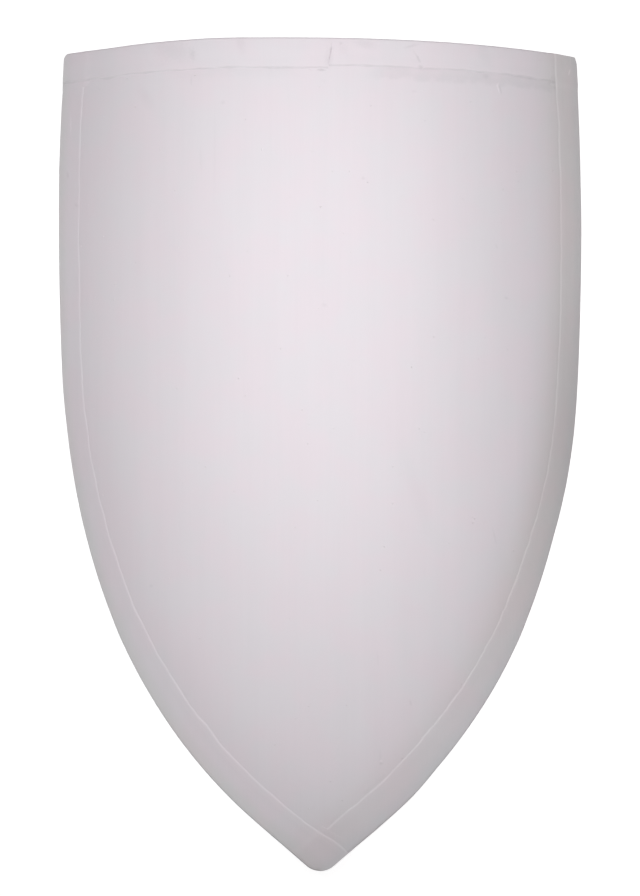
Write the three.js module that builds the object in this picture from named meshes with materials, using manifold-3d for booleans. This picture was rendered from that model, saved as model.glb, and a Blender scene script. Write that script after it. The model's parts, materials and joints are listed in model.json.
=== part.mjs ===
// A heater shield: one board bent to a single curve, with cloth strips folded over its whole edge.
// It lies face up on its two side rims. Millimetres, +X across, +Y towards the top edge, +Z up.
// Each piece is laid out flat first: u runs across along the board's face from the crown line,
// v runs down from the top line, w is the height above the board's face. bend() then curves it.
import * as THREE from 'three';
import { mergeVertices } from 'three/addons/utils/BufferGeometryUtils.js';
import Module from 'manifold-3d';

// The bend and the board
const faceRadius = 349;
const boardThickness = 8;

// The outline, laid flat: an upper arc, a lower arc and a straight run into the tip on each side
const halfWidth = 277.7;
const widestBelowTop = 169;
const upperSideRadius = 1833;
const lowerSideStart = 296.5;
const lowerSideRadius = 603.3;
const straightStart = 715;
const cornerRadius = 6;
const tipRadius = 19;
const topSkew = 1.2; // the left corner stands this much above the top line, the right one below it

// The cloth strips, and the clearance kept between pieces that touch
const clothThickness = 1;
const clearance = 0.3;
const edgeClearance = 1; // round the board's square edge, inside the cloth's fold
const foldRadius = 1.8;
const foldMargin = 0.2; // flat cloth before the fold starts
const sideStripFront = 28.5;
const topLeftStripFront = 28.5;
const topRightStripFront = 25.5;
const stripBack = 22;
const topJointU = 8.5;
const topJointGap = 0.6;
const trimInset = 1.7; // how far inside the outline a strip is cut where another one covers its end
const rampStart = 10; // a covering strip starts to rise this far before the strip below it
const rampEnd = 5;

// How finely the shapes are divided
const boardStep = 12;
const arcStep = 18;
const crownFacet = 8;
const sideStripStep = 20;
const topStripStep = 16;
const closeSteps = [0, 1.5, 3, 4.5, 6, 10, 14, 18, 22, 26, 30, 34, 38, 42, 46]; // where strips cross
const upperArcShares = [0.66, 0.33, 0.15];
const cornerTurns = [0, 30, 60, 90];
const narrowestSlice = 0.35;

// A flat seat planed into the inner face for a strap plate or a hanger
const seatBelowTop = 250;
const seatWidth = 40;
const seatLength = 70;
const seatDepth = 0.3;

// How it lies
const restTilt = 4.4; // degrees, tip end down
const restFlatDepth = 0.4;

const layer = clothThickness + clearance;
const radians = THREE.MathUtils.degToRad;

// Flat pattern to space: the bend's axis runs along Y.
function bend(u, v, w) {
  const turn = u / faceRadius;
  const reach = faceRadius + w;
  return new THREE.Vector3(reach * Math.sin(turn), -v, reach * Math.cos(turn) - faceRadius);
}

// The right side's rim line. Both arcs share the normal at upperTurn, so they meet smoothly.
const upperCentre = new THREE.Vector2(halfWidth - upperSideRadius, widestBelowTop);
const upperTurn = Math.asin((lowerSideStart - widestBelowTop) / upperSideRadius);
const lowerCentre = onArc(upperCentre, upperSideRadius - lowerSideRadius, upperTurn);
const lowerTurn = Math.asin((straightStart - lowerCentre.y) / lowerSideRadius);
const runNormal = new THREE.Vector2(Math.cos(lowerTurn), Math.sin(lowerTurn));
const runDirection = new THREE.Vector2(-Math.sin(lowerTurn), Math.cos(lowerTurn));
const runStart = onArc(lowerCentre, lowerSideRadius, lowerTurn);

function onArc(centre, radius, turn) {
  return new THREE.Vector2(radius * Math.cos(turn), radius * Math.sin(turn)).add(centre);
}

function topLine(u) {
  return (topSkew * u) / halfWidth;
}

// How far a point is inside the rim line of one side: side is 1 for the right and -1 for the left.
function sideInset(side, point) {
  const p = new THREE.Vector2(side * point.x, point.y);
  const turn = Math.atan2(p.y - lowerCentre.y, p.x - lowerCentre.x);
  if (turn > lowerTurn) return -p.sub(runStart).dot(runNormal);
  if (p.y > lowerSideStart) return lowerSideRadius - p.distanceTo(lowerCentre);
  return upperSideRadius - p.distanceTo(upperCentre);
}

// The rounded corners and tip: each pulls the outline in from the sharp corner of two rim lines.
// reachA and reachB point from the round's centre to where it leaves each line.
function roundAt(centre, radius, reachA, reachB) {
  const middle = reachA.clone().add(reachB).normalize();
  return { centre, radius, reachA, reachB, middle, spread: middle.dot(reachA) };
}

function cornerRound(side) {
  const topU = upperCentre.x + Math.sqrt(upperSideRadius ** 2 - (widestBelowTop - cornerRadius) ** 2);
  const u = side * (topU - cornerRadius);
  const centre = new THREE.Vector2(u, topLine(u) + cornerRadius);
  return roundAt(centre, cornerRadius, new THREE.Vector2(0, -1), new THREE.Vector2(side, 0));
}

const tipV = runStart.y + (runStart.x / Math.sin(lowerTurn)) * Math.cos(lowerTurn);
const tipCentre = new THREE.Vector2(0, tipV - tipRadius / Math.sin(lowerTurn));
const rounds = [
  cornerRound(-1),
  cornerRound(1),
  roundAt(tipCentre, tipRadius, runNormal, new THREE.Vector2(-runNormal.x, runNormal.y)),
];

function roundOff(point) {
  for (const round of rounds) {
    const d = point.clone().sub(round.centre);
    const length = d.length();
    if (length === 0 || d.dot(round.middle) < round.spread * length) continue;
    const share = Math.max(d.dot(round.reachA), d.dot(round.reachB)) / length;
    return round.centre.clone().addScaledVector(d, share);
  }
  return point;
}

// Even or graded steps from 0 to 1 along a stretch, with a few close ones at the ends that ask for them.
function steps(length, step, closeAtStart, closeAtEnd) {
  const head = closeAtStart ? closeSteps : [0];
  const tail = closeAtEnd ? closeSteps.map((x) => length - x).reverse() : [length];
  const from = head[head.length - 1];
  const to = tail[0];
  const count = Math.max(1, Math.round((to - from) / step));
  const middle = Array.from({ length: count - 1 }, (_, i) => from + ((to - from) * (i + 1)) / count);
  return [...head, ...middle, ...tail].map((x) => x / length);
}

// A sheet with thickness from two grids of points, closed along its four edges and facing outwards.
function thickSheet(outer, inner) {
  const rows = outer.length;
  const columns = outer[0].length;
  const last = columns - 1;
  const at = (sheet, row, column) => (sheet * rows + row) * columns + column;
  const index = [];
  const quad = (a, b, c, d) => index.push(a, b, c, a, c, d);
  for (let r = 0; r < rows - 1; r++) {
    for (let c = 0; c < last; c++) {
      quad(at(0, r, c), at(0, r, c + 1), at(0, r + 1, c + 1), at(0, r + 1, c));
      quad(at(1, r, c), at(1, r + 1, c), at(1, r + 1, c + 1), at(1, r, c + 1));
    }
    quad(at(0, r, 0), at(0, r + 1, 0), at(1, r + 1, 0), at(1, r, 0));
    quad(at(0, r + 1, last), at(0, r, last), at(1, r, last), at(1, r + 1, last));
  }
  for (let c = 0; c < last; c++) {
    quad(at(0, 0, c + 1), at(0, 0, c), at(1, 0, c), at(1, 0, c + 1));
    quad(at(0, rows - 1, c), at(0, rows - 1, c + 1), at(1, rows - 1, c + 1), at(1, rows - 1, c));
  }
  const points = [...outer.flat(), ...inner.flat()];
  if (signedVolume(points, index) < 0) index.reverse();
  const geometry = new THREE.BufferGeometry().setFromPoints(points);
  geometry.setIndex(index);
  return geometry;
}

function signedVolume(points, index) {
  let sum = 0;
  for (let i = 0; i < index.length; i += 3) {
    const [a, b, c] = [0, 1, 2].map((k) => points[index[i + k]]);
    sum += a.dot(b.clone().cross(c));
  }
  return sum / 6;
}

// Cuts one geometry with another.
const wasm = await Module();
wasm.setup();

function solid(geometry) {
  const bare = new THREE.BufferGeometry();
  bare.setAttribute('position', geometry.getAttribute('position'));
  bare.setIndex(geometry.index);
  const merged = mergeVertices(bare, 1e-4);
  const vertProperties = new Float32Array(merged.getAttribute('position').array);
  const triVerts = new Uint32Array(merged.index.array);
  return new wasm.Manifold(new wasm.Mesh({ numProp: 3, vertProperties, triVerts }));
}

function cut(geometry, tool) {
  const mesh = solid(geometry).subtract(solid(tool)).getMesh();
  const result = new THREE.BufferGeometry();
  result.setAttribute('position', new THREE.BufferAttribute(mesh.vertProperties, 3));
  result.setIndex(new THREE.BufferAttribute(mesh.triVerts, 1));
  return result;
}

// The board, as a stack of straight slices from its top edge to its lower edge, one at each u.
const boardInset = clothThickness + edgeClearance;

function boardTop(u) {
  const corner = rounds[u < 0 ? 0 : 1];
  const past = Math.abs(u) - Math.abs(corner.centre.x);
  const radius = cornerRadius - boardInset;
  if (past <= 0) return topLine(u) + boardInset;
  if (past < radius) return corner.centre.y - Math.sqrt(radius ** 2 - past ** 2);
  const reach = Math.abs(u) - upperCentre.x;
  return widestBelowTop - Math.sqrt((upperSideRadius - boardInset) ** 2 - reach ** 2);
}

function boardBottom(u) {
  const reach = Math.abs(u);
  const onTip = onArc(tipCentre, tipRadius - boardInset, lowerTurn);
  const onRun = onArc(lowerCentre, lowerSideRadius - boardInset, lowerTurn);
  const onLower = onArc(lowerCentre, lowerSideRadius - boardInset, upperTurn);
  if (reach < onTip.x) return tipCentre.y + Math.sqrt((tipRadius - boardInset) ** 2 - reach ** 2);
  if (reach < onRun.x) return onRun.y + ((onRun.x - reach) * runDirection.y) / -runDirection.x;
  if (reach < onLower.x) {
    return lowerCentre.y + Math.sqrt((lowerSideRadius - boardInset) ** 2 - (reach - lowerCentre.x) ** 2);
  }
  return widestBelowTop + Math.sqrt((upperSideRadius - boardInset) ** 2 - (reach - upperCentre.x) ** 2);
}

// Where the slices stand on one side: along the tip round, the straight run, both arcs and the corner.
function boardStations() {
  const lowerArc = lowerSideRadius - boardInset;
  const upperArc = upperSideRadius - boardInset;
  const list = [crownFacet];
  const runEnd = onArc(lowerCentre, lowerArc, lowerTurn).x;
  for (let u = crownFacet + boardStep; u < runEnd - boardStep / 2; u += boardStep) list.push(u);
  const lowerSteps = Math.round((lowerArc * (lowerTurn - upperTurn)) / arcStep);
  for (let i = 0; i <= lowerSteps; i++) {
    list.push(onArc(lowerCentre, lowerArc, lowerTurn + ((upperTurn - lowerTurn) * i) / lowerSteps).x);
  }
  for (const share of upperArcShares) list.push(onArc(upperCentre, upperArc, upperTurn * share).x);
  const cornerU = Math.abs(rounds[1].centre.x);
  const boardCorner = cornerRadius - boardInset;
  for (const turn of cornerTurns) list.push(cornerU + boardCorner * Math.sin(radians(turn)));
  list.sort((a, b) => a - b);
  return list.filter((u, i) => i === 0 || u - list[i - 1] > narrowestSlice);
}

function board() {
  const right = boardStations();
  const stations = [...right.map((u) => -u).reverse(), ...right];
  const slice = (w) => stations.map((u) => [bend(u, boardTop(u), w), bend(u, boardBottom(u), w)]);
  const seat = new THREE.BoxGeometry(seatWidth, seatLength, boardThickness);
  const seatPlane = -boardThickness + seatDepth;
  seat.translate(0, -seatBelowTop, seatPlane - boardThickness / 2);
  return cut(thickSheet(slice(0), slice(-boardThickness)), seat);
}

// The cloth's section across the rim, from the front flap's edge round to the back flap's edge.
// Each entry is [inset, height, front], for the outer or the inner face of the cloth, where front is 1 on
// the half of the fold that rises over a strip on the face, and 0 on the half that does so on the back.
function stripSection(front, back, isInner) {
  const skin = isInner ? clothThickness : 0;
  const top = layer - skin;
  const bottom = -boardThickness - layer + skin;
  const radius = foldRadius - skin;
  const nearFold = foldRadius + foldMargin;
  const arc = radius * (1 - Math.SQRT1_2);
  const flap = (length, count) =>
    Array.from({ length: count + 1 }, (_, i) => nearFold + ((length - nearFold) * i) / count);
  return [
    ...flap(front, 3).reverse().map((inset) => [inset, top, 1]),
    [skin + arc, top - arc, 1],
    [skin, top - radius, 1],
    [skin, bottom + radius, 0],
    [skin + arc, bottom + arc, 0],
    ...flap(back, 2).map((inset) => [inset, bottom, 0]),
  ];
}

// 1 well inside the strip below, 0 well clear of it, and a smooth rise between.
function covered(inset, stripWidth) {
  return 1 - THREE.MathUtils.smoothstep(inset, stripWidth + rampEnd, stripWidth + rampStart);
}

// A strip from a path: path(inset, share) gives the flat point that share of the way along the line that
// is inset from the rim, and below(point) says how far that point is inside the edge of the strip below.
function strip(front, back, shares, path, below, belowFront) {
  const face = (isInner) =>
    shares.map((share) =>
      stripSection(front, back, isInner).map(([inset, height, onFront]) => {
        const flat = path(inset, share);
        const rise = below ? layer * covered(below(flat), onFront ? belowFront : stripBack) : 0;
        const p = roundOff(flat);
        return bend(p.x, p.y, height + (onFront ? rise : -rise));
      }),
    );
  return thickSheet(face(false), face(true));
}

// One side's line at an inset, from a cut below the top line to a cut inside the other side's rim line.
function sidePath(side, topCut, tipCut) {
  return (inset, share) => {
    const upper = upperSideRadius - inset;
    const lower = lowerSideRadius - inset;
    const startU = side * (rounds[1].centre.x + cornerRadius - inset);
    const startTurn = Math.asin((topLine(startU) + topCut - widestBelowTop) / upper);
    const runFrom = onArc(lowerCentre, lower, lowerTurn);
    const otherStart = new THREE.Vector2(-runStart.x, runStart.y);
    const otherNormal = new THREE.Vector2(-runNormal.x, runNormal.y);
    const runLength =
      (-tipCut - runFrom.clone().sub(otherStart).dot(otherNormal)) / runDirection.dot(otherNormal);
    const upperLength = upper * (upperTurn - startTurn);
    const lowerLength = lower * (lowerTurn - upperTurn);
    const along = share * (upperLength + lowerLength + runLength);
    let p;
    if (along < upperLength) p = onArc(upperCentre, upper, startTurn + along / upper);
    else if (along < upperLength + lowerLength) {
      p = onArc(lowerCentre, lower, upperTurn + (along - upperLength) / lower);
    } else p = runFrom.addScaledVector(runDirection, along - upperLength - lowerLength);
    return new THREE.Vector2(side * p.x, p.y);
  };
}

function sideStrip(side, isOver) {
  const topCut = isOver.top ? 0 : trimInset;
  const tipCut = isOver.tip ? 0 : trimInset;
  const path = sidePath(side, topCut, tipCut);
  const length = upperSideRadius * (upperTurn + widestBelowTop / upperSideRadius)
    + lowerSideRadius * (lowerTurn - upperTurn) + tipV - straightStart;
  const shares = steps(length, sideStripStep, true, true);
  const belowTop = (p) => p.y - topLine(p.x);
  const belowTip = (p) => sideInset(-side, p);
  if (isOver.top) return strip(sideStripFront, stripBack, shares, path, belowTop, topRightStripFront);
  return strip(sideStripFront, stripBack, shares, path, belowTip, sideStripFront);
}

// The top line at an inset, from the joint near its middle to one side's rim line.
function topStrip(side, front, isOver) {
  const jointU = topJointU + (side * topJointGap) / 2;
  const sideCut = isOver ? 0 : trimInset;
  const path = (inset, share) => {
    const cornerV = topLine(side * halfWidth) + inset;
    const across = upperSideRadius - sideCut;
    const endU = side * (upperCentre.x + Math.sqrt(across ** 2 - (cornerV - widestBelowTop) ** 2));
    const u = jointU + (endU - jointU) * share;
    return new THREE.Vector2(u, topLine(u) + inset);
  };
  const shares = steps(halfWidth, topStripStep, false, true);
  const below = (p) => sideInset(side, p);
  return strip(front, stripBack, shares, path, isOver ? below : null, sideStripFront);
}

// Materials
const primer = (roughness, colour) =>
  new THREE.MeshStandardMaterial({ color: colour, roughness, metalness: 0, flatShading: true });
const boardWhite = primer(0.62, 0xe9e4e8);
const clothWhite = primer(0.72, 0xe2dcdf);

const shield = new THREE.Group();
const pose = new THREE.Group();
shield.add(pose);

function addPiece(name, geometry, material) {
  const mesh = new THREE.Mesh(geometry.toNonIndexed(), material);
  mesh.geometry.computeVertexNormals();
  mesh.name = name;
  pose.add(mesh);
  return mesh;
}

const sideStripNames = ['edge_strip_left', 'edge_strip_right'];

// The top strip's left length covers the left strip, the right strip covers the top strip's right
// length, and at the tip the left strip covers the right one.
addPiece('shield_board', board(), boardWhite);
addPiece('edge_strip_left', sideStrip(-1, { top: false, tip: true }), clothWhite);
addPiece('edge_strip_right', sideStrip(1, { top: true, tip: false }), clothWhite);
addPiece('edge_strip_top_left', topStrip(-1, topLeftStripFront, true), clothWhite);
addPiece('edge_strip_top_right', topStrip(1, topRightStripFront, false), clothWhite);

// The rest pose: tipped about the crown, then set down so that the box's bottom centre is the origin.
pose.rotation.x = radians(restTilt);
shield.updateMatrixWorld(true);
const box = new THREE.Box3().setFromObject(shield, true);
const middleOfBox = box.getCenter(new THREE.Vector3());
pose.position.set(-middleOfBox.x, -middleOfBox.y, -box.min.z - restFlatDepth);
shield.updateMatrixWorld(true);

// The two side rims are worn flat where they bear on the ground.
const groundDepth = 20;
const ground = new THREE.BoxGeometry(4 * halfWidth, 4 * halfWidth, groundDepth);
ground.translate(0, 0, -groundDepth / 2);
ground.applyMatrix4(pose.matrixWorld.clone().invert());
for (const mesh of pose.children) {
  if (!sideStripNames.includes(mesh.name)) continue;
  mesh.geometry = cut(mesh.geometry, ground).toNonIndexed();
  mesh.geometry.computeVertexNormals();
}

export default shield;
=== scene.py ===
import json
import math

import bpy
import numpy as np
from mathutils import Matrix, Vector


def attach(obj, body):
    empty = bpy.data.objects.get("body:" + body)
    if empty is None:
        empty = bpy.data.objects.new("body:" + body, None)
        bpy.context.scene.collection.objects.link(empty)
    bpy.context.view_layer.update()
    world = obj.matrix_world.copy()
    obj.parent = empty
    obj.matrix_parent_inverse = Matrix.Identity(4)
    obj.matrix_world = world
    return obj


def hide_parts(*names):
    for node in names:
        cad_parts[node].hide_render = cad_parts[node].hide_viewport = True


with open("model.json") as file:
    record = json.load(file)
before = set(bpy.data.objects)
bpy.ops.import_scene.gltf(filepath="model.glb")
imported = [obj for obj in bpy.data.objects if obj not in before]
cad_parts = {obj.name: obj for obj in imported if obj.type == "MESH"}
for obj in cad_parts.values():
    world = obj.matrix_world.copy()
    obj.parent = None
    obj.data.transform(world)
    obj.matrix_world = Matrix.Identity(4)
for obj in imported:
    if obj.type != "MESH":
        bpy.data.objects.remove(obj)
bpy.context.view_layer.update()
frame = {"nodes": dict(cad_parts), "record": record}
print("frame loaded:", sorted(frame["nodes"]))

# Every piece is laid out flat first: u runs across the face from the crown line, v down from the
# top line, w out from the board's face. place() then bends it and sets it in the frame. Metres.
pattern = {
    "faceRadius": 0.349,  # the bend, at the board's face
    "boardThickness": 0.008,
    "halfWidth": 0.2777,  # from the crown line to the rim at its widest
    "widestBelowTop": 0.169,
    "upperSideRadius": 1.833,
    "lowerSideStart": 0.2965,
    "lowerSideRadius": 0.6033,
    "straightStart": 0.715,
    "cornerRadius": 0.006,
    "tipRadius": 0.019,
    "topSkew": 0.0012,
}

seat = next(m for m in frame["record"]["mounts"] if m["name"] == "strap_seat")
seatFlat = {"v": 0.25, "w": -0.0077, "width": 0.04, "length": 0.07}
outward = -Vector(seat["axis"]).normalized()
down = Vector((1, 0, 0)).cross(outward)
origin = Vector(seat["pos_m"]) - seatFlat["v"] * down - seatFlat["w"] * outward


def place(u, v, w):
    turn = u / pattern["faceRadius"]
    reach = pattern["faceRadius"] + w
    x = reach * np.sin(turn)
    rise = reach * np.cos(turn) - pattern["faceRadius"]
    points = np.stack([x, v * down.y + rise * outward.y, v * down.z + rise * outward.z], -1)
    return points + np.array(origin)


def onArc(centre, radius, turn):
    radius, turn = np.broadcast_arrays(np.asarray(radius, float), np.asarray(turn, float))
    return centre + radius[..., None] * np.stack([np.cos(turn), np.sin(turn)], -1)


def smoothStep(x, low, high):
    t = np.clip((x - low) / (high - low), 0, 1)
    return t * t * (3 - 2 * t)


def wave(x, length, seed):
    # a smooth random line between -1 and 1, with bumps about this length apart
    knots = np.random.default_rng(seed).uniform(-1, 1, 512)
    spot = np.asarray(x) / length + 100
    index = np.floor(spot).astype(int)
    t = smoothStep(spot - index, 0, 1)
    return knots[index % len(knots)] * (1 - t) + knots[(index + 1) % len(knots)] * t


def unevenness(u, v, length, seed):
    # the same over a surface
    size = 128
    knots = np.random.default_rng(seed).uniform(-1, 1, (size, size))
    spotU, spotV = u / length + 40, v / length + 20
    iu, iv = np.floor(spotU).astype(int), np.floor(spotV).astype(int)
    tu, tv = smoothStep(spotU - iu, 0, 1), smoothStep(spotV - iv, 0, 1)

    def knot(du, dv):
        return knots[(iu + du) % size, (iv + dv) % size]

    near = knot(0, 0) * (1 - tu) + knot(1, 0) * tu
    far = knot(0, 1) * (1 - tu) + knot(1, 1) * tu
    return near * (1 - tv) + far * tv


# The rim line of one side: a wide arc, a tighter arc below it, then a straight run to the tip
halfWidth = pattern["halfWidth"]
widest = pattern["widestBelowTop"]
upperRadius = pattern["upperSideRadius"]
lowerRadius = pattern["lowerSideRadius"]
lowerStart = pattern["lowerSideStart"]
upperCentre = np.array([halfWidth - upperRadius, widest])
upperTurn = math.asin((lowerStart - widest) / upperRadius)
lowerCentre = onArc(upperCentre, upperRadius - lowerRadius, upperTurn)
lowerTurn = math.asin((pattern["straightStart"] - lowerCentre[1]) / lowerRadius)
runNormal = np.array([math.cos(lowerTurn), math.sin(lowerTurn)])
runDirection = np.array([-math.sin(lowerTurn), math.cos(lowerTurn)])
runStart = onArc(lowerCentre, lowerRadius, lowerTurn)
mirrored = np.array([-1, 1])
tipV = runStart[1] + runStart[0] / math.sin(lowerTurn) * math.cos(lowerTurn)
tipCentre = np.array([0, tipV - pattern["tipRadius"] / math.sin(lowerTurn)])


def topLine(u):
    return pattern["topSkew"] * u / halfWidth


def sideInset(side, p):
    # how far flat points are inside one side's rim line
    q = p * np.array([side, 1])
    onUpper = upperRadius - np.linalg.norm(q - upperCentre, axis=-1)
    onLower = lowerRadius - np.linalg.norm(q - lowerCentre, axis=-1)
    onRun = -(q - runStart) @ runNormal
    turn = np.arctan2(q[..., 1] - lowerCentre[1], q[..., 0] - lowerCentre[0])
    return np.where(turn > lowerTurn, onRun, np.where(q[..., 1] > lowerStart, onLower, onUpper))


def roundAt(centre, reachA, reachB):
    # a rounded corner between two rim lines that lie towards reachA and reachB from its centre
    middle = (reachA + reachB) / np.linalg.norm(reachA + reachB)
    return centre, reachA, reachB, middle, middle @ reachA


def cornerCentre(side):
    radius = pattern["cornerRadius"]
    u = upperCentre[0] + math.sqrt(upperRadius**2 - (widest - radius) ** 2) - radius
    return np.array([side * u, topLine(side * u) + radius])


rounds = [
    roundAt(cornerCentre(-1), np.array([0, -1]), np.array([-1, 0])),
    roundAt(cornerCentre(1), np.array([0, -1]), np.array([1, 0])),
    roundAt(tipCentre, runNormal, runNormal * mirrored),
]


def roundOff(p):
    # pulls points in from the sharp corners of the rim lines onto the rounded ones
    for centre, reachA, reachB, middle, spread in rounds:
        d = p - centre
        length = np.maximum(np.linalg.norm(d, axis=-1), 1e-9)
        inRound = d @ middle >= spread * length
        share = np.maximum(d @ reachA, d @ reachB) / length
        p = np.where(inRound[..., None], centre + d * share[..., None], p)
    return p


# How far the hand-cut outline strays outwards from the true one: by v down each side, by u along the top.
# A stray is full out to the first fade distance from the rim and gone at the second.
strays = {
    "right": [
        (0.0, -0.0010), (0.028, 0.0004), (0.1, 0.0003), (0.171, 0.0009), (0.243, 0.0004), (0.315, 0.0008),
        (0.363, 0.0021), (0.41, 0.0020), (0.434, 0.0012), (0.458, 0.0001), (0.482, 0.0), (0.529, 0.0004),
        (0.552, 0.0012), (0.599, 0.0011), (0.646, 0.0003), (0.72, 0.0),
    ],
    "left": [
        (0.0, -0.0017), (0.028, -0.0005), (0.052, 0.0004), (0.112, 0.0010), (0.16, 0.0005), (0.243, 0.0001),
        (0.315, 0.0005), (0.363, 0.0), (0.434, 0.0003), (0.529, 0.0006), (0.552, 0.0012), (0.599, 0.0008),
        (0.7, 0.0008), (0.74, 0.0),
    ],
    "top": [
        (-0.265, -0.0010), (-0.214, -0.0008), (-0.19, -0.0002), (-0.163, 0.0005), (-0.102, 0.0013),
        (-0.081, 0.0009), (-0.05, 0.0002), (-0.01, -0.0003), (0.06, -0.0006), (0.15, -0.0008),
        (0.234, -0.0010), (0.262, -0.0018),
    ],
    "lowerRight": [(0.67, 0.0), (0.695, 0.0020), (0.725, 0.0016), (0.748, 0.0)],
    "fade": (0.035, 0.12),
    "lowerRightFade": (0.002, 0.026),
}


def stray(p):
    # moves flat points with the hand-cut outline, less and less further in
    moved = p.copy()
    for side, name, fade in ((-1, "left", "fade"), (1, "right", "fade"), (1, "lowerRight", "lowerRightFade")):
        amount = np.interp(p[..., 1], *zip(*strays[name]))
        moved[..., 0] += side * amount * (1 - smoothStep(sideInset(side, p), *strays[fade]))
    amount = np.interp(p[..., 0], *zip(*strays["top"]))
    moved[..., 1] -= amount * (1 - smoothStep(p[..., 1], *strays["fade"]))
    return moved


def sidePath(side, inset, share, topCut, tipCut):
    # points this share of the way along a side's line at an inset, from the top to the other side's rim
    upper, lower = upperRadius - inset, lowerRadius - inset
    startU = side * (abs(cornerCentre(1)[0]) + pattern["cornerRadius"] - inset)
    startTurn = np.arcsin((topLine(startU) + topCut - widest) / upper)
    runFrom = onArc(lowerCentre, lower, lowerTurn)
    across = (runFrom - runStart * mirrored) @ (runNormal * mirrored)
    runLength = (-tipCut - across) / (runDirection @ (runNormal * mirrored))
    upperLength = upper * (upperTurn - startTurn)
    lowerLength = lower * (lowerTurn - upperTurn)
    along = share * (upperLength + lowerLength + runLength)
    onUpper = onArc(upperCentre, upper, startTurn + along / upper)
    onLower = onArc(lowerCentre, lower, upperTurn + (along - upperLength) / lower)
    onRun = runFrom + (along - upperLength - lowerLength)[..., None] * runDirection
    past = along - upperLength
    p = np.where((past < 0)[..., None], onUpper, onLower)
    p = np.where((past > lowerLength)[..., None], onRun, p)
    return p * np.array([side, 1])


def topPath(side, inset, share, sideCut, jointU):
    cornerV = topLine(side * halfWidth) + inset
    reach = np.sqrt((upperRadius - sideCut) ** 2 - (cornerV - widest) ** 2)
    endU = side * (upperCentre[0] + reach)
    u = jointU + (endU - jointU) * share
    return np.stack([u, topLine(u) + inset], -1)


def gridFaces(rows, columns, start=0, flip=False):
    r, c = np.meshgrid(np.arange(rows - 1), np.arange(columns - 1), indexing="ij")
    a = (start + r * columns + c).ravel()
    quads = np.stack([a, a + 1, a + columns + 1, a + columns], -1)
    return quads[:, ::-1] if flip else quads


sharpAngle = math.radians(50)


def thickSheet(name, outer, inner, maps, materials, backFrom=None):
    # closes two grids of points into one sheet; maps gives each UV map a grid of pairs
    rows, columns = outer.shape[:2]
    count = rows * columns
    top = np.arange(columns)
    left = np.arange(rows) * columns
    ring = np.concatenate([top, left[1:] + columns - 1, left[-1] + top[-2::-1], left[-2:0:-1]])
    after = np.roll(ring, -1)
    wall = np.stack([after, ring, ring + count, after + count], -1)
    faces = [gridFaces(rows, columns), gridFaces(rows, columns, count, True), wall]
    points = np.concatenate([outer.reshape(-1, 3), inner.reshape(-1, 3)])
    quads = np.concatenate(faces)
    a, b, c, d = (points[quads[:, i]] for i in range(4))
    if (np.einsum("ij,ij->i", a, np.cross(b, c) + np.cross(c, d))).sum() < 0:
        quads = quads[:, ::-1]
    mesh = bpy.data.meshes.new(name)
    mesh.from_pydata(points.tolist(), [], quads.tolist())
    for material in materials:
        mesh.materials.append(material)
    corners = quads.ravel()
    for mapName, grid in maps.items():
        layer = mesh.uv_layers.new(name=mapName)
        both = np.concatenate([grid.reshape(-1, 2)] * 2)
        layer.data.foreach_set("uv", both[corners].astype(np.float32).ravel())
    mesh.polygons.foreach_set("use_smooth", [True] * len(quads))
    if backFrom is not None:
        index = np.zeros(len(quads), int)
        index[backFrom:] = 1
        mesh.polygons.foreach_set("material_index", index)
    mesh.set_sharp_from_angle(angle=sharpAngle)
    mesh.validate()
    piece = bpy.data.objects.new(name, mesh)
    bpy.context.scene.collection.objects.link(piece)
    return piece


class Wire:
    # a socket that does sums: 1 - mask, colour * 0.9

    def __init__(self, graph, socket):
        self.graph, self.socket = graph, socket

    def sum(self, operation, other, turned=False):
        pair = [other, self] if turned else [self, other]
        kinds = [w.socket.type for w in pair if isinstance(w, Wire)]
        if "RGBA" in kinds:
            settings = {"data_type": "RGBA", "blend_type": operation}
            inputs = {0: 1, 6: asColour(pair[0]), 7: asColour(pair[1])}
            return self.graph.add("ShaderNodeMix", settings, inputs, 2)
        return self.graph.add("ShaderNodeMath", {"operation": operation}, dict(enumerate(pair)))

    def __add__(self, other):
        return self.sum("ADD", other)

    def __sub__(self, other):
        return self.sum("SUBTRACT", other)

    def __mul__(self, other):
        return self.sum("MULTIPLY", other)

    def __radd__(self, other):
        return self.sum("ADD", other, True)

    def __rsub__(self, other):
        return self.sum("SUBTRACT", other, True)

    def between(self, low, high, toLow=0, toHigh=1):
        # smooth from toLow at low to toHigh at high, and level beyond them
        settings = {"interpolation_type": "SMOOTHSTEP", "clamp": True}
        return self.graph.add("ShaderNodeMapRange", settings, {0: self, 1: low, 2: high, 3: toLow, 4: toHigh})


def asColour(value):
    if isinstance(value, Wire):
        return value
    return (*value, 1) if isinstance(value, tuple) else (value, value, value, 1)


class Graph:
    def __init__(self, tree):
        self.tree = tree
        tree.nodes.clear()

    def add(self, kind, settings=None, inputs=None, output=0):
        node = self.tree.nodes.new(kind)
        spot = len(self.tree.nodes)
        node.location = (spot // 6 * 190, -(spot % 6) * 190)
        for name, value in (settings or {}).items():
            setattr(node, name, value)
        for name, value in (inputs or {}).items():
            if isinstance(value, Wire):
                self.tree.links.new(value.socket, node.inputs[name])
            else:
                node.inputs[name].default_value = value
        return Wire(self, node.outputs[output]) if len(node.outputs) else None

    def map(self, name):
        return self.add("ShaderNodeUVMap", {"uv_map": name})

    def noise(self, vector, scale, detail=2.0, roughness=0.5, distortion=0.0):
        inputs = {"Vector": vector, "Scale": scale, "Detail": detail}
        inputs.update({"Roughness": roughness, "Distortion": distortion})
        return self.add("ShaderNodeTexNoise", {"noise_dimensions": "3D"}, inputs)

    def stretched(self, vector, scale, offset=(0, 0, 0), angle=0.0):
        inputs = {"Vector": vector, "Location": offset, "Rotation": (0, 0, angle), "Scale": scale}
        return self.add("ShaderNodeMapping", {"vector_type": "POINT"}, inputs)


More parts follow.
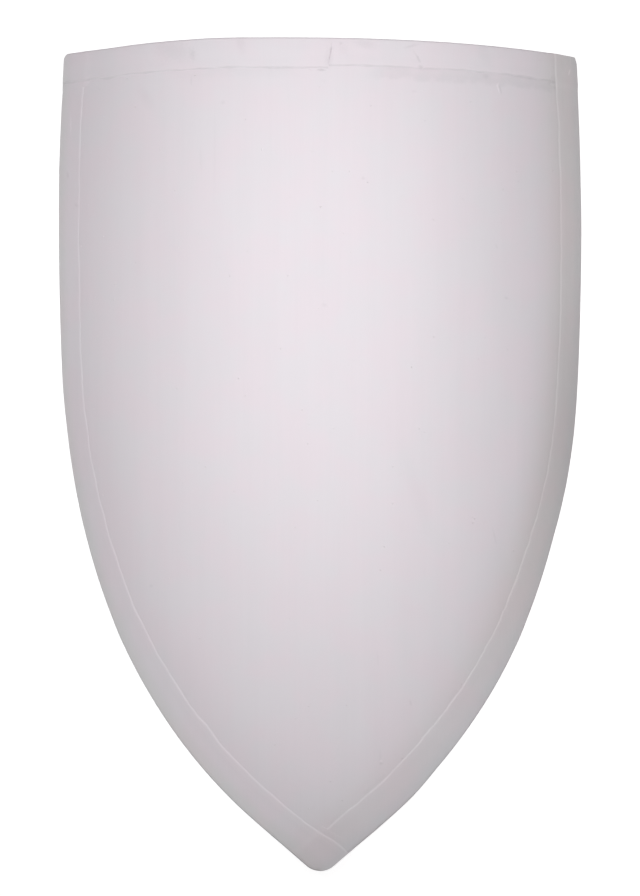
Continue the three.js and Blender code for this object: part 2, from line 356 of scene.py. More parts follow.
primer = {
    "pinkPatch": (0.780, 0.712, 0.757),
    "greyPatch": (0.762, 0.722, 0.760),
    "patchSize": 0.045,
    "streakDepth": 0.02,
    "streakScale": (420, 7, 1),  # features a metre across and down the face
    "broadScale": (70, 3, 1),
    "toneScale": (9, 6, 1),
    "toneDepth": 0.03,
    "streakHeight": 0.00006,
    "broadHeight": 0.0001,
    "roughness": 0.62,
    "roughnessSpread": 0.14,
    "ior": 1.45,
    "specular": 0.35,
}

# What has marked the primer, with painted highlight and painted shadow along a scratch: where (u, v), half
# length, half breadth, turn from the u axis in degrees, and how much darker it is there. A negative one is
# brighter. A mark fades from markFade's first share of its half size to the second.
markFade = (0.1, 1.7)
marks = [
    # along the top strip
    (-0.138, 0.008, 0.018, 0.009, 14, 0.055),
    (-0.1194, 0.0128, 0.0048, 0.0024, 84, 0.060),
    (-0.1211, 0.0372, 0.0036, 0.0010, 90, 0.045),
    (-0.2364, 0.0296, 0.0016, 0.0012, 0, -0.050),
    (-0.073, 0.004, 0.009, 0.004, 80, 0.040),
    (0.0191, 0.0058, 0.0016, 0.0014, 0, 0.070),
    (0.0208, 0.0108, 0.0042, 0.0036, 90, 0.022),
    (0.041, 0.0062, 0.008, 0.0036, 10, 0.050),
    (0.084, 0.0068, 0.0060, 0.0012, -14, 0.070),
    (0.0880, 0.0135, 0.0036, 0.0010, 55, 0.040),
    (0.0912, 0.0181, 0.0034, 0.0012, 60, 0.110),
    (0.0934, 0.0253, 0.0022, 0.0014, -5, 0.130),
    (0.0874, 0.0480, 0.0024, 0.0010, 0, 0.040),
    (0.158, 0.012, 0.009, 0.006, 60, 0.030),
    (0.1592, 0.0304, 0.0030, 0.0022, 0, 0.060),
    (0.2381, 0.0293, 0.0026, 0.0014, 0, 0.110),
    (0.2587, 0.0181, 0.0030, 0.0009, 110, -0.150),
    (0.2596, 0.0064, 0.0045, 0.0008, 90, -0.060),
    # joint of the two top lengths
    (0.0082, 0.0186, 0.0088, 0.0030, 95, 0.050),
    (0.0102, 0.0106, 0.0022, 0.0013, -20, 0.040),
    (0.0011, 0.0300, 0.0034, 0.0010, 3, 0.160),
    (0.0150, 0.0175, 0.0080, 0.0028, 92, -0.014),
    # down the field
    (0.1722, 0.0372, 0.0022, 0.0009, 118, -0.090),
    # a scratch: its bright line is painted highlight, the dark line right of it painted shadow
    (0.1729, 0.0412, 0.0036, 0.0008, 70, -0.120),
    (0.1752, 0.0414, 0.0038, 0.0010, 72, 0.090),
    (-0.2599, 0.0672, 0.0090, 0.0011, 90, -0.055),
    (-0.2642, 0.1153, 0.0030, 0.0016, 80, 0.060),
    (-0.2528, 0.1447, 0.0028, 0.0014, 30, 0.050),
    (-0.168, 0.050, 0.011, 0.0050, 55, 0.025),
    (-0.1115, 0.110, 0.010, 0.0014, 88, 0.025),
    (-0.098, 0.104, 0.036, 0.0012, 90, 0.016),
    (-0.0902, 0.0580, 0.0020, 0.0016, 0, 0.050),
    (0.0040, 0.2447, 0.0024, 0.0016, 20, 0.050),
    (0.0396, 0.1287, 0.0018, 0.0014, 0, 0.050),
    (0.1821, 0.2354, 0.0022, 0.0012, 10, 0.060),
    (0.1711, 0.1875, 0.0020, 0.0012, 60, 0.040),
    (-0.1626, 0.5031, 0.0020, 0.0014, 0, 0.050),
    (0.0552, 0.6580, 0.0070, 0.0012, 90, 0.030),
    (0.0905, 0.4180, 0.0400, 0.0070, 70, 0.016),
    (0.1689, 0.4577, 0.0070, 0.0010, 75, 0.045),
    (0.0840, 0.6090, 0.0022, 0.0010, 75, 0.070),
    (0.0562, 0.6638, 0.0016, 0.0012, 0, 0.080),
    (0.0562, 0.6612, 0.0014, 0.0010, 0, -0.080),
    (0.0530, 0.5680, 0.0060, 0.0010, 85, 0.025),
]


def markDarkness(graph, flat, ragged):
    total = 0
    for u, v, halfLength, halfBreadth, angle, depth in marks:
        inputs = {"Vector": flat, "Location": (u, v, 0), "Rotation": (0, 0, math.radians(angle))}
        inputs["Scale"] = (halfLength, halfBreadth, 1)
        local = graph.add("ShaderNodeMapping", {"vector_type": "TEXTURE"}, inputs)
        reach = graph.add("ShaderNodeVectorMath", {"operation": "LENGTH"}, {0: local}, 1) + ragged
        total = reach.between(*markFade, depth, 0) + total
    return total


# The coat is painted darker towards the rims and the tip: painted shade, most of all along the middle of the
# right rim. It is also less pink near the rims
paintedRimShade = {
    "right": 0.09,
    "rightMiddle": 0.135,
    "rightRim": 0.045,
    "left": 0.06,
    "tip": 0.03,
    "lessRed": 0.034,
    "lessBlue": 0.036,
    "wide": (-0.01, 0.08),  # from the rim: full, gone
    "narrow": (0.02, 0.05),
    "paleRim": (0.002, 0.016),
    "lessBlueRight": (0.020, 0.065),
}


def rimShadeColour(graph, flat):
    # gives the coat's colour there as a share of its clean colour, with the painted shade towards the rims
    # and the tip
    inLeft = graph.add("ShaderNodeSeparateXYZ", {}, {0: graph.map("rims")})
    inRight = Wire(graph, inLeft.socket.node.outputs[1])
    v = Wire(graph, graph.add("ShaderNodeSeparateXYZ", {}, {0: flat}).socket.node.outputs[1])
    middle = v.between(0.15, 0.36) * v.between(0.36, 0.58, 1, 0)
    right = v.between(0.50, 0.68, paintedRimShade["right"], 0.05) + middle * paintedRimShade["rightMiddle"]
    darker = inRight.between(*paintedRimShade["wide"], 1, 0) * right
    darker = darker + inRight.between(*paintedRimShade["narrow"], paintedRimShade["rightRim"], 0)
    darker = darker + inLeft.between(*paintedRimShade["wide"], 1, 0) * v.between(0.15, 0.42, 0, paintedRimShade["left"])
    darker = darker + v.between(0.62, 0.78, 0, paintedRimShade["tip"])
    atLeft, atRight = inLeft.between(*paintedRimShade["paleRim"], 1, 0), inRight.between(*paintedRimShade["paleRim"], 1, 0)
    red = 1 - (atLeft + atRight * (1 - atLeft)) * paintedRimShade["lessRed"]
    nearRight = inRight.between(*paintedRimShade["lessBlueRight"], 1, 0) * v.between(0.48, 0.62, 1, 0.4)
    blue = 1 - (atLeft + nearRight * (1 - atLeft)) * paintedRimShade["lessBlue"]
    return graph.add("ShaderNodeCombineColor", {}, {0: red, 1: 1.0, 2: blue}) * (1 - darker)


def primerCoat(graph, flat):
    # gives the coat's colour and the height of its brush marks
    patch = graph.noise(flat, 1 / primer["patchSize"], 3)
    tone = graph.noise(graph.stretched(flat, primer["toneScale"], (4, 7, 0)), 1, 2)
    streaks = graph.noise(graph.stretched(flat, primer["streakScale"]), 1, 3, 0.6)
    broad = graph.noise(graph.stretched(flat, primer["broadScale"], (3, 5, 0)), 1, 2)
    ragged = (graph.noise(flat, 420, 2) - 0.5) * 1.1
    mixed = {0: patch.between(0.35, 0.65), 6: asColour(primer["pinkPatch"]), 7: asColour(primer["greyPatch"])}
    tint = graph.add("ShaderNodeMix", {"data_type": "RGBA"}, mixed, 2)
    depth = primer["streakDepth"]
    shade = 1 + (streaks - 0.5) * depth + (broad - 0.5) * (depth * 1.2) + (tone - 0.5) * primer["toneDepth"]
    shade = shade * (1 - markDarkness(graph, flat, ragged))
    height = (streaks - 0.5) * primer["streakHeight"] + (broad - 0.5) * primer["broadHeight"]
    # the coat carries the painted shade towards the rims and the tip
    return tint * rimShadeColour(graph, flat) * shade, height


def finishMaterial(graph, colour, roughness, height):
    normal = graph.add("ShaderNodeBump", {}, {"Strength": 1.0, "Distance": 1.0, "Height": height})
    inputs = {"Base Color": colour, "Roughness": roughness, "Normal": normal}
    inputs.update({"IOR": primer["ior"], "Specular IOR Level": primer["specular"]})
    shader = graph.add("ShaderNodeBsdfPrincipled", {}, inputs)
    graph.add("ShaderNodeOutputMaterial", {}, {"Surface": shader})


def newMaterial(name):
    material = bpy.data.materials.new(name)
    material.use_nodes = True
    return material, Graph(material.node_tree)


# The blotchy bands below the top strip, the right one darker
patchBand = {
    "right": (0.036, 0.066, 0.240, 0.245),  # begins, full, begins to fade, ends
    "left": (-0.150, -0.120, -0.030, -0.010),
    "top": (0.022, 0.0265),
    "bottom": 0.0375,
    "leftFade": (0.028, 0.040),
    "ragged": 0.010,
    "darker": 0.05,
    "leftDarker": 0.025,
}


def bandDarkness(graph, flat):
    u = graph.add("ShaderNodeSeparateXYZ", {}, {0: flat})
    v = Wire(graph, u.socket.node.outputs[1])
    blotch = graph.noise(flat, 90, 3, 0.6)
    lower = patchBand["bottom"] + (blotch - 0.5) * patchBand["ragged"]
    start, full, fade, end = patchBand["right"]
    right = (lower - v).between(-0.0025, 0.0025) * u.between(start, full) * u.between(fade, end, 1, 0)
    start, full, fade, end = patchBand["left"]
    left = v.between(*patchBand["leftFade"], 1, 0) * u.between(start, full) * u.between(fade, end, 1, 0)
    band = right * patchBand["darker"] + left * patchBand["leftDarker"]
    return band * blotch.between(0.3, 0.6, 0.6, 1.1) * v.between(*patchBand["top"])


def faceMaterial():
    material, graph = newMaterial("primed face")
    flat = graph.map("flat")
    colour, height = primerCoat(graph, flat)
    colour = colour * (1 - bandDarkness(graph, flat))
    grain = graph.noise(flat, 2600, 2)
    roughness = primer["roughness"] + (graph.noise(flat, 60, 3) - 0.5) * primer["roughnessSpread"]
    finishMaterial(graph, colour, roughness, height + (grain - 0.5) * 0.00002)
    return material


# The inner face: one thin brushed coat, with the wood's grain showing through it
backFinish = {
    "wood": (0.62, 0.55, 0.47),
    "coat": (0.735, 0.700, 0.700),
    "thinnest": 0.52,  # how far the coat hides the wood where it is thinnest
    "thickest": 0.97,
    "roughness": 0.68,
}


def backMaterial():
    material, graph = newMaterial("primed back")
    flat = graph.map("flat")
    grain = graph.noise(graph.stretched(flat, (260, 4, 1)), 1, 4, 0.6, 0.4)
    figure = graph.noise(graph.stretched(flat, (34, 2.2, 1), (2, 1, 0)), 1, 3, 0.5, 1.2)
    strokes = graph.noise(graph.stretched(flat, (5, 150, 1), (0, 3, 0), 0.12), 1, 3, 0.6)
    cover = (strokes * 0.5 + graph.noise(flat, 16, 3) * 0.5).between(0.36, 0.6)
    hiding = cover * (backFinish["thickest"] - backFinish["thinnest"]) + backFinish["thinnest"]
    mixed = {0: hiding, 6: asColour(backFinish["wood"]), 7: asColour(backFinish["coat"])}
    tint = graph.add("ShaderNodeMix", {"data_type": "RGBA"}, mixed, 2)
    shade = 1 + (grain - 0.5) * 0.10 + (figure - 0.5) * 0.07
    height = (grain - 0.5) * 0.00012 + (strokes - 0.5) * 0.00008
    finishMaterial(graph, tint * shade, backFinish["roughness"] + (strokes - 0.5) * 0.2, height)
    return material


board = {
    "acrossStations": 150,
    "alongRows": 130,
    "edgeInset": 0.002,
    "crowding": 0.9,  # how much closer the stations stand towards the sides, up to 1
    "unevenness": 0.00012,
    "broadBumps": 0.06,
    "smallBumps": 0.025,
}


def boardEnds(u):
    # the board's first and last v at each u
    inset = board["edgeInset"]
    reach = np.abs(u)
    centreU, centreV = abs(cornerCentre(1)[0]), np.where(u < 0, cornerCentre(-1)[1], cornerCentre(1)[1])
    radius = pattern["cornerRadius"] - inset
    past = np.clip(reach - centreU, 0, radius)
    upper, lower, tip = upperRadius - inset, lowerRadius - inset, pattern["tipRadius"] - inset
    underSide = np.sqrt(np.maximum(upper**2 - (reach - upperCentre[0]) ** 2, 0))
    top = np.where(reach < centreU, topLine(u) + inset, centreV - np.sqrt(radius**2 - past**2))
    top = np.where(reach > centreU + radius, widest - underSide, top)
    onTip, onRun = onArc(tipCentre, tip, lowerTurn), onArc(lowerCentre, lower, lowerTurn)
    onLower = onArc(lowerCentre, lower, upperTurn)
    bottom = np.where(reach < onLower[0], 0.0, widest + underSide)
    arc = lowerCentre[1] + np.sqrt(np.maximum(lower**2 - (reach - lowerCentre[0]) ** 2, 0))
    bottom = np.where((reach >= onRun[0]) & (reach < onLower[0]), arc, bottom)
    run = onRun[1] + (onRun[0] - reach) * runDirection[1] / -runDirection[0]
    bottom = np.where((reach >= onTip[0]) & (reach < onRun[0]), run, bottom)
    onRound = tipCentre[1] + np.sqrt(np.maximum(tip**2 - reach**2, 0))
    return top, np.where(reach < onTip[0], onRound, bottom)


def rimMap(p):
    # how far a point is from the left and the right rim
    return np.stack([sideInset(-1, p), sideInset(1, p)], -1)


def faceLift(u, v):
    # the face is a little uneven
    broad, small = unevenness(u, v, board["broadBumps"], 5), unevenness(u, v, board["smallBumps"], 6)
    return board["unevenness"] * (broad + 0.5 * small - 1.5)


def makeBoard(materials):
    edge = halfWidth - board["edgeInset"] - 0.0001
    share = np.linspace(-1, 1, board["acrossStations"])
    spread = math.pi / 2 * board["crowding"]
    u = edge * np.sin(share * spread) / math.sin(spread)
    top, bottom = boardEnds(u)
    along = np.linspace(0, 1, board["alongRows"])[None, :]
    v = top[:, None] + (bottom - top)[:, None] * along
    strayed = stray(np.stack([np.broadcast_to(u[:, None], v.shape), v], -1))
    flatU, v = strayed[..., 0], strayed[..., 1]
    outer = place(flatU, v, faceLift(flatU, v))
    inner = place(flatU, v, np.full(v.shape, -pattern["boardThickness"]))
    faces = (len(u) - 1) * (v.shape[1] - 1)
    maps = {"flat": strayed, "rims": rimMap(strayed)}
    piece = thickSheet("heater_board", outer, inner, maps, materials, faces)
    cutter = makeSeatBlock()
    cut = piece.modifiers.new("strap seat", "BOOLEAN")
    cut.operation, cut.object, cut.solver = "DIFFERENCE", cutter, "EXACT"
    applyModifiers(piece)
    bpy.data.objects.remove(cutter)
    dressSeat(piece)
    return piece


def dressSeat(piece):
    # the seat is finished like the rest of the back
    mesh = piece.data
    centre, slack = Vector(seat["pos_m"]), 0.0002
    for polygon in mesh.polygons:
        offset = polygon.center - centre
        isAcross = abs(offset.x) < seatFlat["width"] / 2 + slack
        isAlong = abs(offset.dot(down)) < seatFlat["length"] / 2 + slack
        if isAcross and isAlong and abs(offset.dot(outward)) < 0.0015:
            polygon.material_index = 1
            for corner in polygon.loop_indices:
                point = mesh.vertices[mesh.loops[corner].vertex_index].co
                mesh.uv_layers["flat"].data[corner].uv = (point.x, (point - origin).dot(down))


def makeSeatBlock():
    depth = 0.02
    centre = Vector(seat["pos_m"]) - outward * (depth / 2)
    half = [Vector((seatFlat["width"] / 2, 0, 0)), down * (-seatFlat["length"] / 2), outward * (depth / 2)]
    corners = []
    for a in (-1, 1):
        for b in (-1, 1):
            for c in (-1, 1):
                corners.append(centre + half[0] * a + half[1] * b + half[2] * c)
    faces = [(0, 1, 3, 2), (4, 6, 7, 5), (0, 4, 5, 1), (2, 3, 7, 6), (0, 2, 6, 4), (1, 5, 7, 3)]
    mesh = bpy.data.meshes.new("seat block")
    mesh.from_pydata([tuple(c) for c in corners], [], faces)
    block = bpy.data.objects.new("seat block", mesh)
    bpy.context.scene.collection.objects.link(block)
    return block


def applyModifiers(piece):
    # what the modifiers make becomes the piece's plain mesh
    depsgraph = bpy.context.evaluated_depsgraph_get()
    evaluated = piece.evaluated_get(depsgraph)
    mesh = bpy.data.meshes.new_from_object(evaluated, preserve_all_data_layers=True, depsgraph=depsgraph)
    piece.modifiers.clear()
    piece.data = mesh


strips = {
    "thickness": 0.001,
    "layer": 0.0013,  # the outer face of a strip above the board
    "foldRadius": 0.0018,
    "back": 0.022,
    "trimInset": 0.0017,
    "overlapInset": 0.0006,
    "sideFront": 0.0285,
    "topLeftFront": 0.0272,
    "topRightFront": 0.0250,
    "sideWaist": 0.0011,  # how much wider the side strips are at both ends
    "tipFlare": 0.0038,  # and the left one's last stretch, over the other strip
    "cornerFlare": 0.0014,  # and the top right one's outer half
    "hemWobble": 0.0007,
    "topHemWobble": 0.00056,
    "hemWaves": (0.022, 0.008),
    "relief": 0.00010,
    "reliefSize": 0.014,
    "rampOut": 0.008,
    "jointU": 0.0085,
    "jointGap": 0.0003,
    "sideLength": 0.83,
    "sideRows": 400,
    "topRows": 150,
}
# The hem: distance in from the cut edge, and height over the board. The first points are the primer
# that has run down off the edge onto the board.
hemProfile = [
    (-0.0068, -0.00001),
    (-0.0058, 0.00001),
    (-0.0036, 0.00002),
    (-0.0018, 0.00003),
    (-0.0009, 0.00007),
    (-0.0004, 0.00016),
    (0.0000, 0.00031),
    (0.0005, 0.00044),
    (0.0010, 0.00050),
    (0.0018, 0.00053),
    (0.0030, 0.00057),
    (0.0050, 0.00068),
]
hemColumn = 6  # the cut edge itself
flapSteps = 11
foldSteps = 5
wallSteps = 4


def stripSection(front, rows):
    # the outer face's insets and heights, with the same for the inner face; front has one width a row
    layer, skin, radius = strips["layer"], strips["thickness"], strips["foldRadius"]
    hemIn, hemHeight = np.array(hemProfile).T
    turns = np.linspace(0, math.pi / 2, foldSteps + 1)
    deepest = -pattern["boardThickness"] - layer
    flap = np.linspace(0, 1, flapSteps + 1)[1:-1]
    flapStart = front - hemIn[-1]
    insets = [front[:, None] - hemIn, flapStart[:, None] * (1 - flap) + radius * flap]
    heights = [hemHeight, hemHeight[-1] + (layer - hemHeight[-1]) * smoothStep(flap, 0, 0.8)]
    insets.append(radius * (1 - np.sin(turns)) + np.zeros((rows, 1)))
    heights.append(layer - radius * (1 - np.cos(turns)))
    wall = np.linspace(layer - radius, deepest + radius, wallSteps + 1)[1:-1]
    insets.append(np.zeros((rows, len(wall))))
    heights.append(wall)
    insets.append(radius * (1 - np.cos(turns)) + np.zeros((rows, 1)))
    heights.append(deepest + radius * (1 - np.sin(turns)))
    back = np.linspace(radius, strips["back"], 9)[1:]
    insets.append(back + np.zeros((rows, 1)))
    backHem = smoothStep(strips["back"] - back, -0.001, 0.003)
    heights.append(-pattern["boardThickness"] - 0.0004 - (layer - 0.0004) * backHem)
    inset = np.concatenate(insets, 1)
    height = np.concatenate(heights)
    # the inner face, one cloth's thickness in, pinched to nothing at the run of primer
    innerRadius = radius - skin
    sunk = 0.0003  # how far it is let into the board
    fold = len(hemIn) + len(flap)
    rim = fold + foldSteps + 1
    backFold = rim + len(wall)
    backStart = backFold + foldSteps + 1
    innerInset, innerHeight = inset.copy(), height.copy()
    innerHeight[:fold] = np.maximum(height[:fold] - skin, -sunk)
    innerInset[:, fold:rim] = skin + innerRadius * (1 - np.sin(turns))
    innerHeight[fold:rim] = layer - skin - innerRadius * (1 - np.cos(turns))
    innerInset[:, rim:backFold] = skin
    innerInset[:, backFold:backStart] = skin + innerRadius * (1 - np.cos(turns))
    innerHeight[backFold:backStart] = deepest + skin + innerRadius * (1 - np.sin(turns))
    innerHeight[backStart:] = np.minimum(height[backStart:] + skin, -pattern["boardThickness"] + sunk)
    onFront = np.arange(len(height)) < rim + len(wall) / 2
    return inset, height, innerInset, innerHeight, onFront


def clothLengths(points):
    # the distance across the cloth from the hem, and along it
    across = np.linalg.norm(np.diff(points, axis=1), axis=-1).cumsum(1)
    across = np.concatenate([np.zeros((len(points), 1)), across], 1)
    along = np.linalg.norm(np.diff(points, axis=0), axis=-1).mean(1).cumsum()
    along = np.concatenate([[0], along])[:, None] + np.zeros(across.shape)
    return np.stack([across - across[:, hemColumn : hemColumn + 1], along], -1)


def makeStrip(name, path, share, front, below, belowFront, seed, material):
    # path gives the flat points at an inset; below, the inset from the rim that another strip already covers
    inset, height, innerInset, innerHeight, onFront = stripSection(front, len(share))
    grids = []
    flats = []
    for someInset, someHeight, lowest in (
        (inset, height, 0),
        (innerInset, innerHeight, strips["thickness"] * 0.6),
    ):
        p = path(someInset, np.broadcast_to(share[:, None], someInset.shape))
        rise = np.zeros(someInset.shape)
        if below is not None:
            depth = below(p)
            ramp = strips["rampOut"]
            lowTop = hemProfile[-1][1]
            onFace = lowTop * (1 - smoothStep(depth, belowFront, belowFront + ramp))
            onFace += (strips["layer"] - lowTop) * (1 - smoothStep(depth, belowFront * 0.2, belowFront))
            onBack = 1 - smoothStep(depth, strips["back"], strips["back"] + ramp)
            rise = np.where(onFront, onFace, -strips["layer"] * onBack)
        p = stray(roundOff(p))
        flats.append(p)
        u, v = p[..., 0], p[..., 1]
        relief = strips["relief"] * (unevenness(u, v, strips["reliefSize"], seed) - 1)
        relief = relief * smoothStep(someInset, 0.002, 0.008) * np.where(onFront, 1, -1)
        relief = relief + faceLift(u, v) * onFront
        points = place(u, v, someHeight + rise + relief)
        points[..., 2] = np.maximum(points[..., 2], lowest)  # it rests on the ground
        grids.append(points)
    maps = {"flat": flats[0], "rims": rimMap(flats[0]), "cloth": clothLengths(grids[0])}
    return thickSheet(name, grids[0], grids[1], maps, [material])


def hemWave(share, length, seed):
    long, short = strips["hemWaves"]
    return wave(share * length, long, seed + 3) + 0.6 * wave(share * length, short, seed + 4)


def sideStrip(side, name, isTopOver, isTipOver, seed, material):
    topCut = 0 if isTopOver else strips["trimInset"]
    tipCut = 0 if isTipOver else strips["trimInset"]
    share = np.linspace(0, 1, strips["sideRows"])
    front = strips["sideFront"] + strips["sideWaist"] * np.cos(share * 2 * math.pi)
    front = front + strips["hemWobble"] * hemWave(share, strips["sideLength"], seed)
    if isTipOver:
        front = front + strips["tipFlare"] * smoothStep(share, 0.925, 1.0)

    def path(inset, at):
        return sidePath(side, inset, at, topCut, tipCut)

    def fromTop(p):
        return p[..., 1] - topLine(p[..., 0])

    def fromOtherSide(p):
        return sideInset(-side, p)

    below = fromTop if isTopOver else fromOtherSide
    belowFront = strips["topRightFront"] if isTopOver else strips["sideFront"]
    return makeStrip(name, path, share, front, below, belowFront, seed, material)


def topStrip(side, name, frontWidth, isOver, seed, material):
    share = np.linspace(0, 1, strips["topRows"])
    front = frontWidth + strips["topHemWobble"] * hemWave(share, halfWidth, seed)
    if not isOver:
        front = front + strips["cornerFlare"] * smoothStep(share, 0.5, 1.0)
    sideCut = strips["overlapInset"] if isOver else strips["trimInset"]

    def path(inset, at):
        # the joint's line leans and opens a little towards the hem
        lean = 0.0019 - 0.0028 * smoothStep(inset, 0.008, 0.026)
        gap = 0.00002 + strips["jointGap"] * smoothStep(inset, 0.009, 0.013)
        jointU = strips["jointU"] + np.where(inset > 0.004, lean, 0.0019) + side * gap
        return topPath(side, inset, at, sideCut, jointU)

    def fromSide(p):
        return sideInset(side, p)

    below = fromSide if isOver else None
    return makeStrip(name, path, share, front, below, strips["sideFront"], seed, material)


# The weave that shows through the primer on the strips
weave = {"warp": 0.0011, "weft": 0.0012, "height": 0.00002, "rougher": 0.05}


def clothMaterial(name, paintedHemHighlight, paintedFootShadow, foot):
    # the second argument is a painted highlight, how much brighter the hem is; the third is a painted shadow,
    # how much darker the line along its foot is; and foot is where that line begins, is full, begins to fade
    # and ends
    material, graph = newMaterial(name)
    flat, cloth = graph.map("flat"), graph.map("cloth")
    colour, height = primerCoat(graph, flat)
    across = graph.add("ShaderNodeSeparateXYZ", {}, {0: cloth})
    along = Wire(graph, across.socket.node.outputs[1])
    ragged = (graph.noise(graph.stretched(cloth, (300, 60, 1)), 1, 3) - 0.5) * 0.0012
    hem = across + ragged
    onRidge = hem.between(-0.0010, 0.0002) * hem.between(0.0008, 0.0026, 1, 0)
    atFoot = hem.between(foot[0], foot[1]) * hem.between(foot[2], foot[3], 1, 0)
    broken = graph.noise(graph.stretched(cloth, (20, 45, 1), (5, 0, 0)), 1, 3).between(0.32, 0.6, 0.45, 1)
    onSkirt = hem.between(-0.0006, 0.0002, 1, 0)
    # painted highlight along the hem and painted shadow along its foot
    shade = 1 + onRidge * broken * paintedHemHighlight - atFoot * paintedFootShadow * broken - bandDarkness(graph, flat) * onSkirt
    colour = colour * shade
    warp = graph.add("ShaderNodeMath", {"operation": "SINE"}, {0: across * (2 * math.pi / weave["warp"])})
    weft = graph.add("ShaderNodeMath", {"operation": "SINE"}, {0: along * (2 * math.pi / weave["weft"])})
    clogged = graph.noise(flat, 110, 3, 0.6).between(0.35, 0.7, 1, 0.25)
    onFlap = hem.between(0.0010, 0.0030)
    threads = (warp * weft) * clogged * onFlap
    spread = (graph.noise(flat, 60, 3) - 0.5) * primer["roughnessSpread"]
    roughness = primer["roughness"] + weave["rougher"] + spread
    finishMaterial(graph, colour, roughness, height + threads * weave["height"])
    return material


nibs = {"perSquareMetre": 900.0, "smallest": 0.00025, "largest": 0.0008, "flatness": 0.3}


def nibTree():
    tree = bpy.data.node_groups.new("primer nibs", "GeometryNodeTree")
    sockets = tree.interface
    sockets.new_socket("Geometry", in_out="INPUT", socket_type="NodeSocketGeometry")
    for name, kind in (("Density", "Float"), ("Smallest", "Float"), ("Largest", "Float"), ("Seed", "Int")):
        sockets.new_socket(name, in_out="INPUT", socket_type="NodeSocket" + kind)
    sockets.new_socket("Material", in_out="INPUT", socket_type="NodeSocketMaterial")
    sockets.new_socket("Geometry", in_out="OUTPUT", socket_type="NodeSocketGeometry")
    graph = Graph(tree)
    given = tree.nodes.new("NodeGroupInput")
    take = {s.name: Wire(graph, s) for s in given.outputs if s.name}
    onFace = graph.add("GeometryNodeMaterialSelection", {}, {"Material": take["Material"]})
    inputs = {0: take["Geometry"], "Selection": onFace, "Density": take["Density"], "Seed": take["Seed"]}
    spots = graph.add("GeometryNodeDistributePointsOnFaces", {"distribute_method": "RANDOM"}, inputs)
    turn = Wire(graph, spots.socket.node.outputs["Rotation"])
    drop = graph.add("GeometryNodeMeshIcoSphere", {}, {"Radius": 1.0, "Subdivisions": 1})
    inputs = {2: take["Smallest"], 3: take["Largest"], "Seed": take["Seed"]}
    size = graph.add("FunctionNodeRandomValue", {"data_type": "FLOAT"}, inputs, 1)
    squat = graph.add("ShaderNodeCombineXYZ", {}, {0: size, 1: size, 2: size * nibs["flatness"]})
    inputs = {"Points": spots, "Instance": drop, "Rotation": turn, "Scale": squat}
    placed = graph.add("GeometryNodeInstanceOnPoints", {}, inputs)
    real = graph.add("GeometryNodeRealizeInstances", {}, {0: placed})
    smooth = graph.add("GeometryNodeSetShadeSmooth", {}, {0: real})
    dressed = graph.add("GeometryNodeSetMaterial", {}, {0: smooth, "Material": take["Material"]})
    result = tree.nodes.new("NodeGroupOutput")
    tree.links.new(dressed.socket, result.inputs[0])
    return tree


def scatterNibs(name, source, material, density, seed):
    # a copy of the source's face carries the tree, and what it makes is a piece of its own
    piece = bpy.data.objects.new(name, source.data.copy())
    bpy.context.scene.collection.objects.link(piece)
    tree = bpy.data.node_groups.get("primer nibs") or nibTree()
    modifier = piece.modifiers.new("nibs", "NODES")
    modifier.node_group = tree
    values = {"Density": density, "Smallest": nibs["smallest"], "Largest": nibs["largest"]}
    values.update({"Seed": seed, "Material": material})
    for item in tree.interface.items_tree:
        if item.in_out == "INPUT" and item.name in values:
            modifier[item.identifier] = values[item.name]
    applyModifiers(piece)
    return piece


face, back = faceMaterial(), backMaterial()
# the side hems get a little painted highlight and the top ones none; both get painted shadow along their
# foot, strongest under the top strips
sideCloth = clothMaterial("primed side strip", 0.015, 0.03, (-0.0062, -0.0016, -0.0012, 0.0))
topCloth = clothMaterial("primed top strip", 0.0, 0.11, (-0.0026, -0.0008, 0.0002, 0.0013))
print("materials made")

boardPiece = makeBoard([face, back])
print("board:", len(boardPiece.data.polygons), "faces")

leftStrip = sideStrip(-1, "heater_strip_left", False, True, 20, sideCloth)
rightStrip = sideStrip(1, "heater_strip_right", True, False, 40, sideCloth)
topLeftStrip = topStrip(-1, "heater_strip_top_left", strips["topLeftFront"], True, 60, topCloth)
topRightStrip = topStrip(1, "heater_strip_top_right", strips["topRightFront"], False, 80, topCloth)
print("strips: 4, of", len(leftStrip.data.polygons), "and", len(topLeftStrip.data.polygons), "faces")

boardNibs = scatterNibs("heater_primer_nibs", boardPiece, face, nibs["perSquareMetre"], 3)
print("nibs:", len(boardNibs.data.polygons), "faces")

for piece, node, slot in (
    (boardPiece, "shield_board", "primed_board"),
    (leftStrip, "edge_strip_left", "primed_cloth"),
    (rightStrip, "edge_strip_right", "primed_cloth"),
    (topLeftStrip, "edge_strip_top_left", "primed_cloth"),
    (topRightStrip, "edge_strip_top_right", "primed_cloth"),
):
    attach(piece, "root")
    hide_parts(node)
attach(boardNibs, "root")

studio = {
    "floorHalf": 30.0,
    "floorColour": (0.42, 0.42, 0.42),
    "floorGlow": 0.84,
    "cameraDistance": 2.189,
    "cameraAimV": 0.3751,
    "cameraLens": 96.43,
}


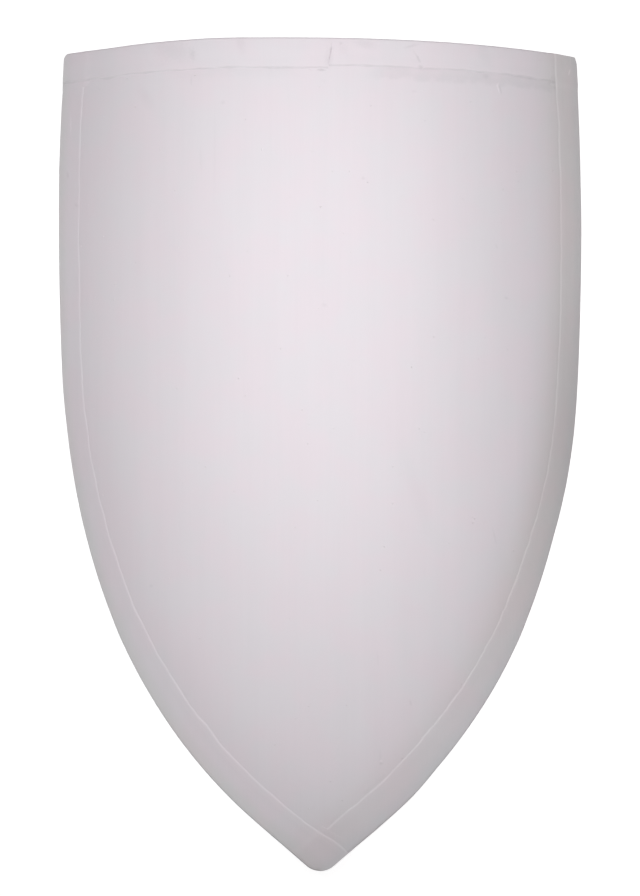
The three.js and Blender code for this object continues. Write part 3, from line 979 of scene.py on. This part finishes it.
def makeFloor():
    mesh = bpy.data.meshes.new("studio floor")
    half = studio["floorHalf"]
    corners = [(-half, -half, 0), (half, -half, 0), (half, half, 0), (-half, half, 0)]
    mesh.from_pydata(corners, [], [(0, 1, 2, 3)])
    material, graph = newMaterial("studio floor")
    soft = graph.noise(graph.add("ShaderNodeTexCoord", {}, {}, 3), 3, 2)
    tone = asColour(studio["floorColour"])
    inputs = {"Base Color": graph.add("ShaderNodeMix", {"data_type": "RGBA"}, {0: soft, 6: tone, 7: tone}, 2)}
    inputs.update({"Roughness": 0.9, "Specular IOR Level": 0.1})
    inputs.update({"Emission Color": (1, 1, 1, 1), "Emission Strength": studio["floorGlow"]})
    graph.add("ShaderNodeOutputMaterial", {}, {"Surface": graph.add("ShaderNodeBsdfPrincipled", {}, inputs)})
    mesh.materials.append(material)
    floor = bpy.data.objects.new("studio_floor", mesh)
    bpy.context.scene.collection.objects.link(floor)


def aim(thing, target):
    thing.rotation_euler = (Vector(target) - thing.location).to_track_quat("-Z", "Y").to_euler()


# each lamp's place, size in metres and power in watts
lamps = {
    "left lamp": ((-0.5, 0.22, 1.2), 0.4, 4.95),
    "right lamp": ((0.5, 0.23, 1.2), 0.4, 4.5),
    "overhead softbox": ((0.0, 0.055, 0.55), 1.0, 2.4),
}


def makeLamp(name, location, size, power):
    lamp = bpy.data.lights.new(name, "AREA")
    lamp.shape, lamp.size, lamp.energy = "DISK", size, power
    holder = bpy.data.objects.new(name, lamp)
    holder.location = location
    holder.visible_camera = False
    aim(holder, (location[0], location[1], 0))
    bpy.context.scene.collection.objects.link(holder)


makeFloor()
for name, (location, size, power) in lamps.items():
    makeLamp(name, location, size, power)

world = bpy.data.worlds.new("studio")
world.use_nodes = True
world.node_tree.nodes["Background"].inputs[0].default_value = (1, 1, 1, 1)
world.node_tree.nodes["Background"].inputs[1].default_value = 0.0
bpy.context.scene.world = world
bpy.context.scene.view_settings.view_transform = "Standard"

camera = bpy.data.cameras.new("camera")
camera.lens = studio["cameraLens"]
camera.clip_end = 100
cameraHolder = bpy.data.objects.new("camera", camera)
# it looks straight at the crown line, square to it
crown = origin + down * studio["cameraAimV"] + outward * strips["layer"]
cameraHolder.location = crown + outward * studio["cameraDistance"]
aim(cameraHolder, cameraHolder.location - outward)
bpy.context.scene.collection.objects.link(cameraHolder)
bpy.context.scene.camera = cameraHolder
print("studio ready")
